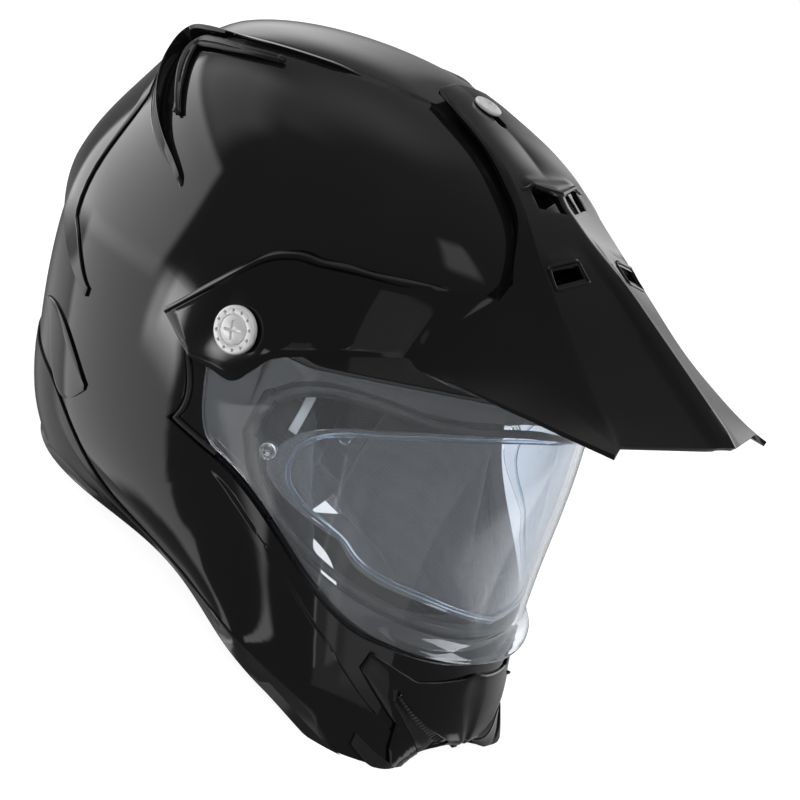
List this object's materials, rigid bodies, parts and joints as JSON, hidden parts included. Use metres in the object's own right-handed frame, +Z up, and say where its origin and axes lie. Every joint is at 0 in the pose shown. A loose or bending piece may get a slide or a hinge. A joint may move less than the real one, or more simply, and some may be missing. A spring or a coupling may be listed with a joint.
{
  "type": "full-face enduro helmet",
  "caption": "Full-face enduro helmet with a hinged clear visor, an adjustable peak on screwed arms, padded liner, chin vent and rear spoiler.",
  "frame": {"origin": "centre of the bounding box, at the bottom of the edge trim", "axes": "+Z up, -Y to the helmet's front, -X to the rider's right"},
  "size_m": [0.2706, 0.3583, 0.2556],
  "materials": {
    "shell_gloss": "gloss black clear-coated shell",
    "trim_rubber": "satin black edge trim",
    "seal_rubber": "matte black rubber",
    "foam": "black expanded foam",
    "lining_fabric": "charcoal knitted lining",
    "webbing": "black woven webbing",
    "ring_steel": "polished steel",
    "matte_black": "satin black moulded plastic",
    "visor_clear": "clear hard-coated polycarbonate",
    "lens_clear": "clear anti-fog sheet",
    "lens_bead": "pale translucent silicone bead",
    "pin_clear": "clear moulded plastic",
    "knob_aluminium": "bright turned aluminium"
  },
  "bodies": {
    "helmet": {"outer_shell": "shell_gloss", "shell_edge_trim": "trim_rubber", "eyeport_gasket": "seal_rubber", "eps_liner": "foam", "chin_eps": "foam", "crown_pad": "lining_fabric", "cheek_pad_left": "lining_fabric", "cheek_pad_right": "lining_fabric", "neck_roll": "lining_fabric", "chin_strap_left": "webbing", "chin_strap_right": "webbing", "strap_rivets": "ring_steel", "d_ring_outer": "ring_steel", "d_ring_inner": "ring_steel", "breath_deflector": "matte_black", "side_plate_left": "matte_black", "side_plate_right": "matte_black", "pivot_boss_left": "matte_black", "pivot_boss_right": "matte_black", "knob_washers": "seal_rubber", "crown_boss": "matte_black", "chin_cover": "shell_gloss", "chin_vent_inserts": "matte_black", "chin_corner_trims": "matte_black", "crown_fin_left": "shell_gloss", "crown_fin_right": "shell_gloss", "crown_vent_left": "matte_black", "crown_vent_right": "matte_black", "crown_vent_rivets": "matte_black", "rear_spoiler": "shell_gloss", "rear_vent_left": "matte_black", "rear_vent_right": "matte_black"},
    "visor_unit": {"visor": "visor_clear", "anti_fog_lens": "lens_clear", "lens_seal": "lens_bead", "lens_pins": "pin_clear"},
    "peak_unit": {"peak": "shell_gloss"},
    "knob_left": {"peak_knob_left": "knob_aluminium"},
    "knob_right": {"peak_knob_right": "knob_aluminium"},
    "crown_screw": {"top_screw": "knob_aluminium"},
    "vent_slider": {"chin_vent_slider": "matte_black"}
  },
  "joints": [
    {"name": "visor_pivot", "type": "hinge", "parent": "helmet", "child": "visor_unit", "pos_m": [0, -0.004, 0.141], "axis": [-1, 0, 0], "range_deg": [0, 26]},
    {"name": "peak_tilt", "type": "hinge", "parent": "helmet", "child": "peak_unit", "pos_m": [0, -0.004, 0.141], "axis": [-1, 0, 0], "range_deg": [0, 3]},
    {"name": "knob_left_turn", "type": "hinge", "parent": "helmet", "child": "knob_left", "pos_m": [0.128, -0.004, 0.141], "axis": [1, 0, 0], "continuous": true},
    {"name": "knob_right_turn", "type": "hinge", "parent": "helmet", "child": "knob_right", "pos_m": [-0.128, -0.004, 0.141], "axis": [-1, 0, 0], "continuous": true},
    {"name": "crown_screw_turn", "type": "hinge", "parent": "helmet", "child": "crown_screw", "pos_m": [0, 0.021, 0.25], "axis": [0, 0, 1], "continuous": true},
    {"name": "vent_slide", "type": "slide", "parent": "helmet", "child": "vent_slider", "axis": [1, 0, 0], "range_m": [0, 0.004]}
  ]
}
